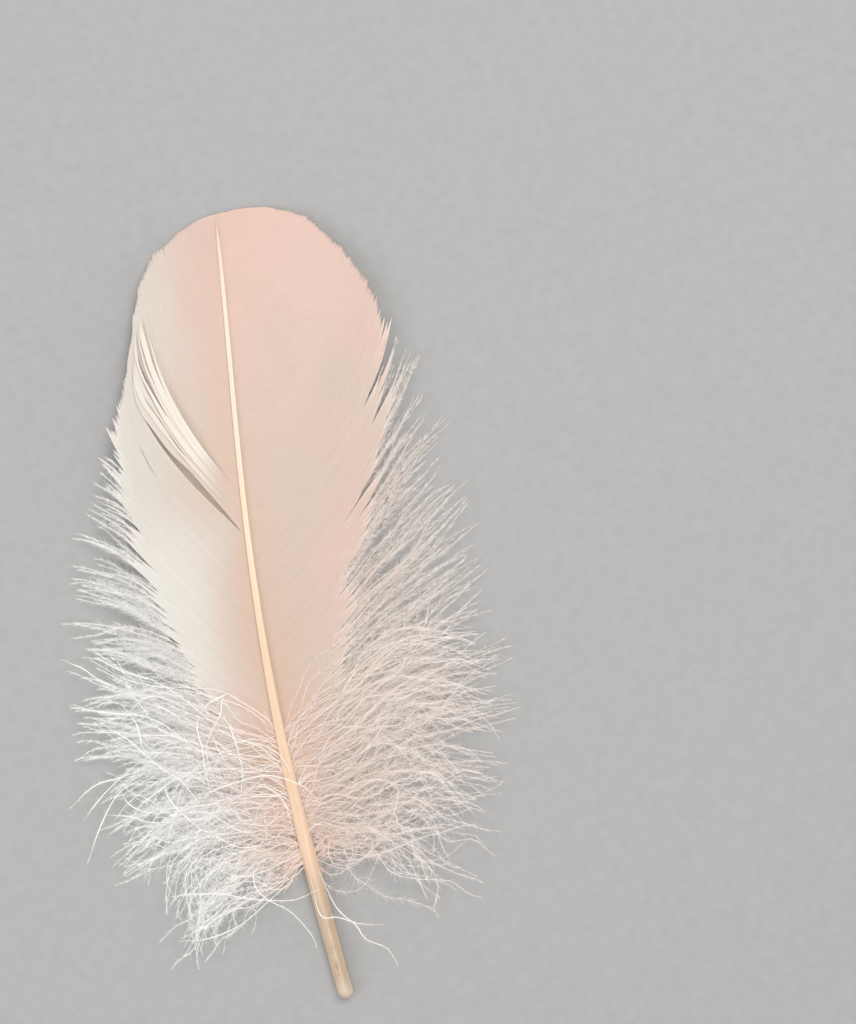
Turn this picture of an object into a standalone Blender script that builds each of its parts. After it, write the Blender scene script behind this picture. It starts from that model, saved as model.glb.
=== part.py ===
"""Goose body feather in one grown piece, lying with its outer side up.

The quill points towards -Y and the round end of the vane towards +Y.
Sizes are in millimetres and turn into metres through MM.
"""

import math

import bmesh
import bpy
import numpy as np

for stale in list(bpy.data.objects):
    bpy.data.objects.remove(stale)

MM = 0.001

# Shaft
QUILL_RADIUS = 1.65
QUILL_FLAT = 18.0
SHAFT_END = 159.4
SHAFT_SIDES = 12
SHAFT_RINGS = (
    0.0, 0.3, 0.9, 1.8, 3.0, QUILL_FLAT, 24.0, 30.0, 37.0, 45.0, 53.0,
    62.0, 72.0, 82.0, 92.0, 102.0, 112.0, 122.0, 132.0, 141.0, 150.0, SHAFT_END,
)
SHAFT_WIDTHS = (
    (0, 0.45), (0.3, 0.85), (0.9, 1.25), (1.8, 1.52), (3.0, QUILL_RADIUS),
    (28, QUILL_RADIUS), (36, 1.46), (46, 1.2), (58, 1.0), (72, 0.82), (92, 0.66),
    (112, 0.54), (132, 0.44), (SHAFT_END, 0.26),
)
SHAFT_BOW = (
    (0, 0), (20, -2.1), (48, -4.6), (75, -5.1), (104, -4.3), (140, -2.4), (158, -1.7),
)
SHAFT_LEAST_HEIGHT = 0.55

# Lengthwise arch and crosswise cup
ARCH = 8.5
CUP_REACH = 40.0
TIP_HEIGHT = 0.62

# Vane
VANE_START = 29.5
VANE_END = 157.6
VANE_ROWS = 40
VANE_COLUMNS = 12
VANE_THICKNESS = 0.6
BARB_RIDGE = 0.2
SLIT_ROOT = 93.0
SLIT_REACH = 0.68
SLIT_WIDTH = 1.8
FOLD_ROOTS = (96.4, 99.4, 102.4)
FOLD_RISE = 0.6

# Barbs on each side: root on the shaft, angles from the shaft at the root, half way
# and at the tip, length, and the share of the length that is closed vane
LEFT_BARBS = np.array([
    (29, 74, 108, 142, 37, 0.2),
    (34, 68, 97, 125, 41, 0.22),
    (44, 59, 73, 93, 42.2, 0.28),
    (58, 50, 46, 72, 45.3, 0.46),
    (70, 46, 31, 40, 46.8, 0.82),
    (84, 44, 26, 14, 47.2, 0.97),
    (98, 43, 24, 8, 44.9, 1.0),
    (112, 42, 27, 10, 38.7, 1.0),
    (126, 40, 28, 12, 30.1, 1.0),
    (140, 37, 24, 13, 18.4, 1.0),
    (150, 33, 21, 12, 9.5, 1.0),
    (158, 10, 8, 5, 2.4, 1.0),
])
RIGHT_BARBS = np.array([
    (29, 74, 106, 139, 38, 0.2),
    (34, 68, 93, 121, 43, 0.2),
    (44, 63, 75, 93, 48.8, 0.22),
    (58, 60, 56, 70, 53, 0.32),
    (70, 60, 46, 54, 54.1, 0.47),
    (84, 60, 40, 30, 53.1, 0.7),
    (98, 60, 40, 20, 50.8, 0.95),
    (112, 60, 42, 27, 43.9, 1.0),
    (126, 58, 43, 30, 35.6, 1.0),
    (140, 56, 44, 34, 24.3, 1.0),
    (150, 52, 44, 38, 13.5, 1.0),
    (158, 14, 12, 10, 2.4, 1.0),
])
BARB_STEPS = 24

# Locks of loose barbs and down
LOCK_SIDES = 6
LOCK_SEGMENTS = 5
DOWN_WIDTH = 2.2
FRINGE_WIDTH = 2.4
LOCK_TIP = 0.24
LOCK_FLATNESS = 0.5
DOWN_ROOTS = np.linspace(30.5, 51.5, 12)
TUFT_ROOTS = np.linspace(32.0, 48.0, 5)
LEFT_FRINGE_ROOTS = np.linspace(55.0, 82.0, 8)
RIGHT_FRINGE_ROOTS = np.linspace(55.0, 103.0, 11)

# Middle of the whole feather seen from above
MIDDLE_X = -1.72
MIDDLE_Y = 80.44

BOW = np.polyfit([y for y, x in SHAFT_BOW], [x for y, x in SHAFT_BOW], 4)
BOW_SLOPE = np.polyder(BOW)


def shaft_x(y):
    """Sideways place of the shaft."""
    return float(np.polyval(BOW, min(y, SHAFT_END)))


def shaft_half_width(y):
    """Half the width of the shaft."""
    return float(np.interp(y, [p[0] for p in SHAFT_WIDTHS], [p[1] for p in SHAFT_WIDTHS]))


def shaft_height(y):
    """Height of the middle of the shaft over the surface that it lies on."""
    rest = QUILL_RADIUS * math.cos(math.pi / SHAFT_SIDES)
    t = min(max((y - QUILL_FLAT) / (SHAFT_END - QUILL_FLAT), 0.0), 1.0)
    return rest + (TIP_HEIGHT - rest) * t ** 2 + ARCH * 6.75 * t ** 2 * (1 - t)


def vane_height(x, y):
    """Height of the middle of the vane, which cups down on both sides of the shaft."""
    away = (x - shaft_x(y)) / CUP_REACH
    return max(shaft_height(y) * (1 - away ** 2), TIP_HEIGHT)


def barb_line(root, side):
    """Points of one barb from the shaft to its tip, seen from above."""
    table = LEFT_BARBS if side < 0 else RIGHT_BARBS
    first, middle, last, length = (np.interp(root, table[:, 0], table[:, k]) for k in (1, 2, 3, 4))
    s = (np.arange(BARB_STEPS) + 0.5) / BARB_STEPS
    angle = first * (1 - s) * (1 - 2 * s) + 4 * middle * s * (1 - s) + last * s * (2 * s - 1)
    heading = math.atan(np.polyval(BOW_SLOPE, root)) + side * np.radians(angle)
    steps = np.column_stack([np.sin(heading), np.cos(heading)]) * length / BARB_STEPS
    start = np.array([[shaft_x(root), root]])
    return np.vstack([start, start + np.cumsum(steps, axis=0)])


def closed_share(root, side):
    """Share of a barb that belongs to the closed vane."""
    table = LEFT_BARBS if side < 0 else RIGHT_BARBS
    return float(np.interp(root, table[:, 0], table[:, 5]))


def along(line, s):
    """Point at the share s of a line."""
    places = np.linspace(0, 1, len(line))
    return np.array([np.interp(s, places, line[:, 0]), np.interp(s, places, line[:, 1])])


def make_object(name, bm, collection):
    """Object from a bmesh, placed about the middle of the feather."""
    bmesh.ops.recalc_face_normals(bm, faces=bm.faces)
    if bm.calc_volume(signed=True) < 0:
        bmesh.ops.reverse_faces(bm, faces=bm.faces)
    for vertex in bm.verts:
        vertex.co.x = (vertex.co.x - MIDDLE_X) * MM
        vertex.co.y = (vertex.co.y - MIDDLE_Y) * MM
        vertex.co.z = vertex.co.z * MM
    mesh = bpy.data.meshes.new(name)
    bm.to_mesh(mesh)
    bm.free()
    made = bpy.data.objects.new(name, mesh)
    collection.objects.link(made)
    return made


def bent_cylinder(sides, segments, turn=0.0):
    """Closed cylinder of unit radius from z 0 to z 1, cut across for bending."""
    bm = bmesh.new()
    bmesh.ops.create_cone(
        bm, cap_ends=True, segments=sides, radius1=1, radius2=1, depth=1,
    )
    upright = [e for e in bm.edges if abs(e.verts[0].co.z - e.verts[1].co.z) > 0.5]
    bmesh.ops.subdivide_edges(bm, edges=upright, cuts=segments - 1, use_grid_fill=True)
    for vertex in bm.verts:
        angle = math.atan2(vertex.co.y, vertex.co.x) + turn
        height = vertex.co.z + 0.5
        vertex.co = (math.cos(angle), math.sin(angle), height)
    return bm


def make_shaft(collection):
    """Quill with a rounded end, running on as the ridge down the vane."""
    count = len(SHAFT_RINGS) - 1
    bm = bent_cylinder(SHAFT_SIDES, count, math.pi / SHAFT_SIDES)
    for vertex in bm.verts:
        y = SHAFT_RINGS[round(vertex.co.z * count)]
        slope = float(np.polyval(BOW_SLOPE, y))
        across = np.array([1.0, -slope]) / math.hypot(1.0, slope)
        half = shaft_half_width(y)
        tall = half if y <= 45 else max(half, SHAFT_LEAST_HEIGHT)
        side, up = vertex.co.x * half, vertex.co.y * tall
        vertex.co = (shaft_x(y) + across[0] * side, y + across[1] * side, shaft_height(y) + up)
    return make_object("shaft", bm, collection)


def lock_half_width(t, width, room):
    """Half the width of a lock, full past its middle, within the room between its neighbours."""
    bulge = 0.12 + 0.88 * t
    half = width * (4 * bulge * (1 - bulge)) ** 0.6
    return max(min(half, room), LOCK_TIP)


def make_lock(name, collection, root, side, start, width, spacing, levels, sway, phase):
    """Flattened lock of loose barbs that follows a barb line and tapers to its tip."""
    line = barb_line(root, side)
    beside = barb_line(root + 1.0, side)
    bm = bent_cylinder(LOCK_SIDES, LOCK_SEGMENTS)
    for vertex in bm.verts:
        t = vertex.co.z
        s = start + (1 - start) * t
        here = along(line, s)
        ahead = along(line, min(s + 0.04, 1.0)) - along(line, max(s - 0.04, 0.0))
        ahead = ahead / np.linalg.norm(ahead)
        across = np.array([ahead[1], -ahead[0]])
        room = abs(float(np.dot(along(beside, s) - here, across))) * spacing(t) * 0.45
        half = lock_half_width(t, width, room)
        here = here + across * sway * t * math.sin(math.tau * (0.8 * t + phase))
        z = np.interp(t, (0.0, 0.35, 0.7, 1.0), levels)
        flat = here + across * vertex.co.x * half
        vertex.co = (flat[0], flat[1], z + vertex.co.y * half * LOCK_FLATNESS)
    return make_object(name, bm, collection)


def make_slit(collection):
    """Cutter for the narrow gap that runs out along one barb of the left vane."""
    line = barb_line(SLIT_ROOT, -1)
    bm = bent_cylinder(4, 8)
    for vertex in bm.verts:
        t = vertex.co.z
        s = SLIT_REACH * t
        here = along(line, s)
        ahead = along(line, s + 0.03) - along(line, max(s - 0.03, 0.0))
        ahead = ahead / np.linalg.norm(ahead)
        across = np.array([ahead[1], -ahead[0]])
        half = max(SLIT_WIDTH / 2 * math.sin(math.pi * t) ** 0.8, 0.05)
        flat = here + across * vertex.co.x * half
        vertex.co = (flat[0], flat[1], vane_height(here[0], here[1]) + vertex.co.y * 4.0)
    return make_object("slit", bm, collection)


def make_vane(collection):
    """Vane as one grid whose rows are barbs that meet at the shaft."""
    bm = bmesh.new()
    bmesh.ops.create_grid(bm, x_segments=VANE_COLUMNS, y_segments=VANE_ROWS, size=1)
    half_columns = VANE_COLUMNS // 2
    for vertex in bm.verts:
        column = round(vertex.co.x * half_columns)
        row = round((vertex.co.y + 1) / 2 * VANE_ROWS)
        root = VANE_START + (VANE_END - VANE_START) * row / VANE_ROWS
        side = -1 if column < 0 else 1
        share = abs(column) / half_columns
        point = along(barb_line(root, side), share * closed_share(root, side))
        z = vane_height(point[0], point[1])
        if column != 0:
            z += BARB_RIDGE * (0.5 if row % 2 else -0.5)
        if side < 0 and SLIT_ROOT < root < SLIT_ROOT + 8:
            z += FOLD_RISE * math.sin(math.pi * share) * (1 - (root - SLIT_ROOT) / 8)
        vertex.co = (point[0], point[1], z)
    return make_object("feather", bm, collection)


def make_down(collection, side, word):
    """Two layers of down from the sides of the shaft, with tufts that stand above them."""
    step = DOWN_ROOTS[1] - DOWN_ROOTS[0]
    for n, root in enumerate(DOWN_ROOTS):
        begin = closed_share(root, side) - 0.08
        start = vane_height(*along(barb_line(root, side), begin))
        rise = 2.4 if n % 2 else 0.0
        tip = (0.5, 2.6)[n % 2]
        levels = (start, start * 0.6 + 0.4 + rise * 0.8, 1.15 + rise, tip)
        make_lock(
            f"down_{word}_{n + 1:02d}", collection, root, side, begin, DOWN_WIDTH,
            lambda t: step * np.interp(t, (0.0, 0.1, 0.3), (1.0, 1.0, 2.0)),
            levels, 0.5, 0.0,
        )
    for n, root in enumerate(TUFT_ROOTS):
        start = shaft_height(root)
        levels = (start, start + 4.2, start + 5.0 - 0.3 * n, start + (3.0 if n % 2 else 1.8))
        make_lock(
            f"tuft_{word}_{n + 1}", collection, root, side, 0.03, DOWN_WIDTH,
            lambda t: 3.2, levels, 2.0, 0.27 * n + 0.1,
        )


def make_fringe(collection, side, word):
    """Loose barbs beyond the closed part of the vane."""
    roots = LEFT_FRINGE_ROOTS if side < 0 else RIGHT_FRINGE_ROOTS
    step = roots[1] - roots[0]
    for n, root in enumerate(roots):
        begin = closed_share(root, side) - 0.06
        start = vane_height(*along(barb_line(root, side), begin))
        tip = (0.4, 1.6, 0.8)[n % 3]
        levels = (start, start * 0.72 + tip * 0.28, start * 0.36 + tip * 0.64, tip)
        make_lock(
            f"fringe_{word}_{n + 1:02d}", collection, root, side, begin, FRINGE_WIDTH,
            lambda t: step, levels, 0.4, 0.41 * n,
        )


def make_fold(collection):
    """Barbs over the slit that lie doubled on the vane."""
    for n, root in enumerate(FOLD_ROOTS):
        line = barb_line(root, -1)
        levels = []
        for t in (0.0, 0.35, 0.7, 1.0):
            height = vane_height(*along(line, 0.3 + 0.7 * t))
            levels.append(height + 0.35 + FOLD_RISE * (1 - t) * 0.7)
        make_lock(
            f"fold_{n + 1}", collection, root, -1, 0.3, 1.1, lambda t: 3.0, levels, 0.0, 0.0,
        )


def main():
    scene = bpy.context.scene
    body = bpy.data.collections.new("goose_feather")
    grown = bpy.data.collections.new("grown_on")
    cutters = bpy.data.collections.new("cutters")
    scene.collection.children.link(body)
    scene.collection.children.link(grown)
    scene.collection.children.link(cutters)

    feather = make_vane(body)
    make_shaft(grown)
    for side, word in ((-1, "left"), (1, "right")):
        make_down(grown, side, word)
        make_fringe(grown, side, word)
    make_fold(grown)
    slit = make_slit(cutters)
    for piece in [*grown.objects, slit]:
        piece.hide_render = True
        piece.display_type = "WIRE"

    material = bpy.data.materials.new("feather_cream_white")
    material.use_nodes = True
    shader = material.node_tree.nodes["Principled BSDF"]
    shader.inputs["Base Color"].default_value = (0.83, 0.74, 0.66, 1.0)
    shader.inputs["Roughness"].default_value = 0.6
    feather.data.materials.append(material)

    thicken = feather.modifiers.new("vane_thickness", "SOLIDIFY")
    thicken.thickness = VANE_THICKNESS * MM
    thicken.offset = 0.0
    split = feather.modifiers.new("split_vane", "BOOLEAN")
    split.operation = "DIFFERENCE"
    split.solver = "EXACT"
    split.object = slit
    join = feather.modifiers.new("join_shaft_and_locks", "BOOLEAN")
    join.operation = "UNION"
    join.solver = "EXACT"
    join.operand_type = "COLLECTION"
    join.collection = grown


main()
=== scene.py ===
"""Looks of the goose feather: every barb of its vane, its loose barbs, its down and its shaft.

Lengths are in millimetres along the feather from the end of its quill, as in the part,
and turn into the row frame's metres in build_mesh. Angles are in degrees. The letter s
stands for a share of a barb's length, from 0 at the shaft to 1 at the barb's tip.
"""

import math

import bpy
import numpy as np
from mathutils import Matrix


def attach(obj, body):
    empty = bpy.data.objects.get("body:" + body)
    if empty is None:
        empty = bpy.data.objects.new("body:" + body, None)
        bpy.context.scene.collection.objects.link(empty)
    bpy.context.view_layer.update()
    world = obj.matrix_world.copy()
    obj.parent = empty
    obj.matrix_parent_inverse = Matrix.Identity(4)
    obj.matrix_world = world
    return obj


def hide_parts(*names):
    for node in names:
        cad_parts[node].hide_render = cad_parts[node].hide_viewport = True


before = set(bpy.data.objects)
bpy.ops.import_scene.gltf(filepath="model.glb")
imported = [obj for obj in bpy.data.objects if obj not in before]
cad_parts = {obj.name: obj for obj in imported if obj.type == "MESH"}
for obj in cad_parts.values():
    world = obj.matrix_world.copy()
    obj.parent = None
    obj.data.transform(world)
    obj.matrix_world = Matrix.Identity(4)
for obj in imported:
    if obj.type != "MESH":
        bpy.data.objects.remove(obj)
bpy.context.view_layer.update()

MM = 0.001

# The two sides of the feather, and the seed of each one's random draws
LEFT = -1
RIGHT = 1
SEEDS = {LEFT: 11, RIGHT: 23}

# Shaft, arch and cup of the feather, as in the part; the scale brings the arch's curve to 1
QUILL_RADIUS = 1.65
QUILL_FLAT = 18.0
SHAFT_END = 159.4
PAST_END = 1.02
SHAFT_SIDES = 12
SHAFT_BOW = (
    (0, 0), (20, -2.1), (48, -4.6), (75, -5.1), (104, -4.3), (140, -2.4), (158, -1.7),
)
ARCH = 8.5
ARCH_SCALE = 6.75
CUP_REACH = 40.0
TIP_HEIGHT = 0.62
MIDDLE_X = -1.72
MIDDLE_Y = 80.44

# Tip of the vane: where it begins, how far it sinks, and how soft the passage to level is
TIP_FROM = 150.0
TIP_SINK = 0.4
LEVEL_BLEND = 0.16

# Barbs on each side: root on the shaft, angles from the shaft at the root, half way
# and at the tip, length, and the share of the length that is closed vane
LEFT_BARBS = np.array([
    (29, 74, 108, 142, 37, 0.0),
    (34, 68, 97, 125, 41, 0.08),
    (44, 59, 73, 93, 42.2, 0.22),
    (58, 50, 46, 72, 45.3, 0.45),
    (70, 46, 31, 40, 46.8, 0.82),
    (84, 43, 29, 2, 47.7, 0.96),
    (92, 39, 31.5, -14, 46.6, 0.97),
    (98, 38, 31, -14, 45.7, 0.98),
    (106, 40, 29, -3, 41.8, 0.985),
    (112, 40, 29, 4, 38.9, 0.99),
    (126, 40, 28, 12, 30.4, 0.99),
    (140, 37, 24, 13, 19.2, 0.99),
    (150, 33, 21, 12, 10.2, 0.99),
    (158, -6, -6, -6, 2.0, 0.99),
])
RIGHT_BARBS = np.array([
    (29, 74, 106, 139, 38, 0.0),
    (34, 68, 93, 121, 43, 0.03),
    (44, 63, 75, 93, 48.8, 0.13),
    (58, 60, 56, 70, 53, 0.3),
    (70, 60, 46, 54, 54.1, 0.45),
    (84, 60, 40, 30, 53.1, 0.69),
    (98, 60, 40, 20, 49.9, 0.94),
    (112, 60, 42, 27, 43.1, 0.98),
    (126, 58, 43, 30, 34.9, 0.99),
    (140, 56, 45, 36, 25.2, 0.99),
    (146, 54, 46, 39, 19.3, 0.99),
    (150, 50, 44, 38, 14.4, 0.99),
    (154, 42, 38, 34, 8.3, 0.99),
    (156, 33, 30, 27, 4.8, 0.99),
    (158, 12, 10, 8, 2.0, 0.99),
])

# Real shaft: place, half width, half height; and how far it stands over the vane
SHAFT_SIZES = (
    (0, 1.6, 1.57), (20, 1.65, 1.57), (28, 1.64, 1.5), (36, 1.46, 1.3), (46, 1.2, 1.05),
    (58, 0.99, 0.88), (72, 0.81, 0.74), (92, 0.65, 0.6), (112, 0.57, 0.48), (132, 0.5, 0.38),
    (150, 0.41, 0.3), (157.8, 0.28, 0.2),
)
SHAFT_PROUD = 0.25
RACHIS_END = 157.8

# How square the shaft gets, its main groove, and the size of its small unevenness
SHAFT_SQUARE = 1.6
GROOVE_DEPTH = 0.17
GROOVE_PLACE = 0.22
SHAFT_WEAR = 0.012

# Split in the left vane, and the strands above it that are folded over its upper end
SLIT_ROOT = 94.0
SLIT_REACH = 0.78
SLIT_WIDTH = 1.8
SLIT_ONSET = 0.95
SLIT_CLOSING = (0.68, 0.92)
SLIT_CLOSING_SHIFT = 1.5
FOLD_WIDTH = 3.1
FOLD_PEAK = 0.82
FOLD_POWER = 1.7
FOLD_RETURN = (0.84, 1.0)
FOLD_RETURN_SHIFT = 0.9
FOLD_SHORTER = 0.12
LIFT_RISE = (0.04, 0.42)
LIFT_FALL = (0.86, 1.0)
LIFT_LOSS = 0.55
STRAND_GATHER = (0.45, 1.0)
STRAND_PULL = 0.75
# Each raised strand above the split: its first root, place from the lowest to the highest, rise
FOLD_STRANDS = (
    (94.0, 0.0, 0.4), (95.2, 0.13, 0.65), (96.5, 0.34, 0.5), (97.9, 0.5, 0.85), (99.3, 0.7, 0.7),
    (100.6, 0.84, 1.0), (101.8, 1.0, 1.15),
)
FOLD_END = 102.8

# Barbs that stay down under the strands: depth, and its reach and curve along the barb
FOLD_DEPTH = 1.3
UNDER_REACH = 0.9
UNDER_POWER = 0.7

# How the barbs below the split give way: how far down, how soon it fades, how much
GIVE_REACH = 12.0
GIVE_FADE = 3.0
GIVE_SHARE = 0.16

# Narrow gaps in the left vane: root, where each starts and ends along the barb, width
SMALL_SPLITS = ((86.0, 0.5, 0.86, 0.3), (117.0, 0.5, 1.1, 0.2), (131.0, 0.75, 1.1, 0.25))
GAP_FADE = 1.6
GAP_ABOVE = 0.6
GAP_BELOW = 0.4

# Edge of the closed vane, ragged where more of each barb is loose
RAGGED = (0.03, 0.3)
EDGE_WAVES = 0.035
EDGE_PITCH = 3.0
EDGE_SPREAD = 0.02
CLOSED_RANGE = (0.02, 0.99)

# Lengths of the vane's barbs against the table's, where the edge is neat and ragged
NEAT_SPREAD = 0.004
RAGGED_SPREAD = 0.09
NEAT_WAVES = 0.006
RAGGED_WAVES = 0.05
LENGTH_PITCH = 2.2
LONGEST = 1.04
RAGGED_GROWTH = 0.07
FOLLOWER_LOSS = 0.3
FOLLOWER_POWER = 1.4

# Loose barbs of the vane: how many in a tuft, their waves, and how a tuft is drawn together
VANE_TUFT = (2, 8)
LOOSE_WAVE = 20
LOW_WAVE = 11
HIGH_CALM = 8
FREE = (0.08, 0.42)
VANE_GATHER = 0.6
GATHER_POWER = 1.15

# Turn outward of the loose barbs on the left, and the tufts' shares of it
LOOSE_TURN = 17.0
LOOSE_TURN_SHARES = (0.2, 1.6)

# Heights of the loose barbs' tips, and small unevenness of the vane
TIP_LEVELS = (0.4, 3.6)
TIP_SPREAD = 0.35
TIP_LEAST = 0.3
LEAD_LEVEL = 0.5
UNEVEN = 0.008
RIPPLE = 0.03
RIPPLE_PITCH = 1.7
SWELL = 0.22
SWELL_PITCH = 11.0
VANE_LOWEST = 0.16

# Sizes of the closed strips, and radii of the loose barbs
STRIP_SIDES = 4
BARB_TILT = 4
OVERLAP = 0.95
WEB_SPARE = 0.03
WEB_HALF_WIDTHS = (0.06, 0.5)
WEB_HALF_HEIGHT = 0.03
TIP_HALF_WIDTH = 0.18
TIP_NARROWING = 0.8
FOLDED_WIDER = 1.5
UNDER_WIDER = 2
LEAD_RADIUS = 0.1
LOOSE_RADIUS = 0.055
LOOSE_TAPER = 0.72

# Down barbs: roots, how many in a tuft, lengths against the table's, waves and curls
DOWN_FROM = 28.2
DOWN_RANGE = 27.0
DOWN_CROWDING = 1.15
DOWN_TUFT = (2, 5)
LEAD_LENGTHS = (0.96, 1.14)
FOLLOWER_LENGTHS = (0.66, 1.0)
DOWN_WAVE = 52
DOWN_CALM = 24
DOWN_SPREAD = 9
DOWN_CURLS = (-30, 60)
DOWN_GATHER = 0.5

# Heights of the down, and radii of its barbs
LOFT = 5.2
LOFT_POWER = 1.6
LOFT_LEAST = 0.3
LOFT_SPREAD = 0.6
BULGES = (0.2, 3.6)
DOWN_STARTS = (-0.5, 0.4)
DOWN_LOWEST = 0.2
LEAD_DOWN_RADIUS = 0.11
DOWN_RADIUS = 0.065
STRAND_SIDES = 3
STRAND_TAPER = 0.7

# Stray curls
STRAYS = 16
STRAY_ROOTS = (28.5, 50.0)
STRAY_BENDS = (70, 190)
STRAY_WAVE = 24
STRAY_LENGTHS = (0.45, 0.85)
STRAY_TOPS = (2.0, 6.0)
STRAY_LOWEST = 0.3
STRAY_RADIUS = 0.09

# Barbules, with the corners of their roots, and their mean angle and its spread
SLIVER_CORNERS = ((0.58, 0.0), (-0.29, 0.5), (-0.29, -0.5))
SLIVER_POINTS = 4
BARBULE_THICKNESS = 0.035
BARBULE_CROWDING = 1.3
BARBULE_STOP = 0.985
BARBULE_ANGLES = (46, 15)
BARBULE_TIP_TURN = 24
BARBULE_SIZES = (0.55, 1.3)
BARBULE_TIP_LOSS = 0.62
BARBULE_SAG = 0.06
FLUFF_LOWEST = 0.06

# Number, length and spread out of the plane of the barbules on each kind of barb
FRINGE_BARBULES = 46000
FRINGE_LENGTHS = {LEFT: 2.3, RIGHT: 1.85}
FRINGE_ROLL = 32
FRINGE_END = 106.0
FRINGE_CLOSED = 0.93
DOWN_BARBULES = 40000
DOWN_LENGTH = 2.2
DOWN_ROLL = 38
CURL_BARBULES = 1600
CURL_LENGTH = 1.3
CURL_ROLL = 50

# Long curls: clearance over the vane, hump over the quill, least heights and radius
CURL_CLEARANCE = 1.5
CURL_HUMP = 0.9
CURL_HUMP_REACH = 5
CURL_HUMP_END = 60
CURL_HEIGHTS = (5.8, 7.4)
CURL_RADIUS = 0.17

# Long curls over the left down and across the quill, as places in the photograph's pixels
CURLS = (
    ((60, 660), (82, 667), (100, 679), (128, 690)),
    ((81, 658), (100, 659), (117, 668), (137, 675), (158, 681)),
    ((126, 714), (143, 699), (156, 696), (177, 703), (196, 714)),
    ((123, 709), (136, 721), (141, 736), (144, 748), (156, 761)),
    ((93, 719), (112, 730), (129, 739), (146, 754), (163, 768), (182, 780), (198, 800), (226, 832)),
    ((72, 705), (86, 709), (112, 712), (143, 715), (163, 723), (182, 737), (198, 752)),
    ((203, 706), (198, 726), (203, 747), (206, 769), (212, 794)),
    ((240, 689), (224, 696), (221, 714), (211, 733), (207, 750), (211, 769), (220, 790)),
    ((236, 691), (220, 697), (204, 708), (198, 724)),
    ((221, 716), (232, 731), (239, 752), (243, 774), (240, 802)),
    ((184, 798), (206, 793), (225, 785), (249, 778), (268, 774), (289, 779), (306, 787), (318, 801)),
    ((252, 795), (260, 786), (274, 790), (286, 805), (292, 828)),
    ((163, 778), (170, 798), (184, 814), (206, 832)),
    ((68, 810), (94, 786), (117, 778), (140, 770)),
    ((82, 822), (105, 793), (134, 766)),
    ((86, 865), (103, 821), (120, 792), (148, 776)),
    ((105, 816), (129, 815), (150, 821), (182, 821)),
    ((118, 790), (132, 805), (151, 812), (176, 812)),
    ((178, 943), (210, 937), (242, 923), (270, 899), (292, 880)),
    ((170, 898), (215, 892), (242, 896), (272, 899), (296, 898), (319, 889)),
    ((268, 868), (255, 871), (257, 887), (270, 899), (291, 910), (312, 933), (317, 948)),
    ((310, 880), (321, 914), (338, 916), (358, 922), (384, 925)),
    ((316, 868), (336, 906), (356, 924), (366, 938), (388, 948), (398, 966)),
)

# Fineness
VANE_FROM = 35.0
VANE_TO = 158.6
BARB_PITCH = 0.31
BARB_SEGMENTS = 26
DOWN_BARBS = 190
DOWN_SEGMENTS = 20
DOWN_SHARES = np.linspace(0, 1, DOWN_SEGMENTS + 1)
SHAFT_STATIONS = 130
SHAFT_FACES = 44

# The photograph's frame: millimetres to a pixel, roll, and the feather's place in it
PICTURE_WIDTH = 856
PICTURE_HEIGHT = 1024
MM_PER_PIXEL = 0.2
CAMERA_ROLL = math.radians(9.0)
QUILL_PIXEL = (347.0, 1001.0)
LENS = 100.0
SENSOR = 36.0
CAMERA_LEVEL = 5.0

# Floor, light from all round, and lamps: name, place in metres, size, power, colour
FLOOR_SIZE = 4.0
FLOOR_GAP = 0.1
WORLD_COLOUR = (0.95, 0.97, 1.0, 1.0)
WORLD_STRENGTH = 0.49
LAMPS = (
    ("key", (0.3, 0.42, 0.85), 0.5, 5.4, (1.0, 0.98, 0.95)),
    ("top", (0.05, -0.08, 1.0), 0.35, 4.1, (1.0, 0.99, 0.97)),
    ("fill", (-0.6, -0.2, 0.6), 0.6, 2.5, (0.98, 0.99, 1.0)),
)

BOW = np.polyfit([y for y, x in SHAFT_BOW], [x for y, x in SHAFT_BOW], 4)
BOW_SLOPE = np.polyder(BOW)


def shaft_x(y):
    """Sideways place of the shaft."""
    return np.polyval(BOW, np.minimum(y, SHAFT_END))


def shaft_height(y):
    """Height of the middle of the shaft."""
    rest = QUILL_RADIUS * math.cos(math.pi / SHAFT_SIDES)
    t = np.clip((y - QUILL_FLAT) / (SHAFT_END - QUILL_FLAT), 0.0, PAST_END)
    return rest + (TIP_HEIGHT - rest) * t ** 2 + ARCH * ARCH_SCALE * t ** 2 * (1 - t)


def vane_height(x, y):
    """Height of the middle of the vane, cupped across and level where it would get too low."""
    away = (x - shaft_x(y)) / CUP_REACH
    height = shaft_height(y) * (1 - away ** 2)
    least = TIP_HEIGHT - TIP_SINK * smooth(TIP_FROM, SHAFT_END, y)
    return (height + least + np.sqrt((height - least) ** 2 + LEVEL_BLEND)) / 2


def smooth(low, high, value):
    """0 below low, 1 above high, with a soft passage between them."""
    t = np.clip((value - low) / (high - low), 0.0, 1.0)
    return t * t * (3 - 2 * t)


def slow_noise(rng, values, pitch):
    """Smooth random curve over values, with a bend about every pitch."""
    low, high = float(np.min(values)) - pitch, float(np.max(values)) + pitch
    knots = np.arange(low, high + pitch, pitch)
    heights = rng.uniform(-1, 1, len(knots))
    place = (values - low) / pitch
    index = np.clip(place.astype(int), 0, len(knots) - 2)
    t = place - index
    t = t * t * (3 - 2 * t)
    return heights[index] * (1 - t) + heights[index + 1] * t


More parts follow.
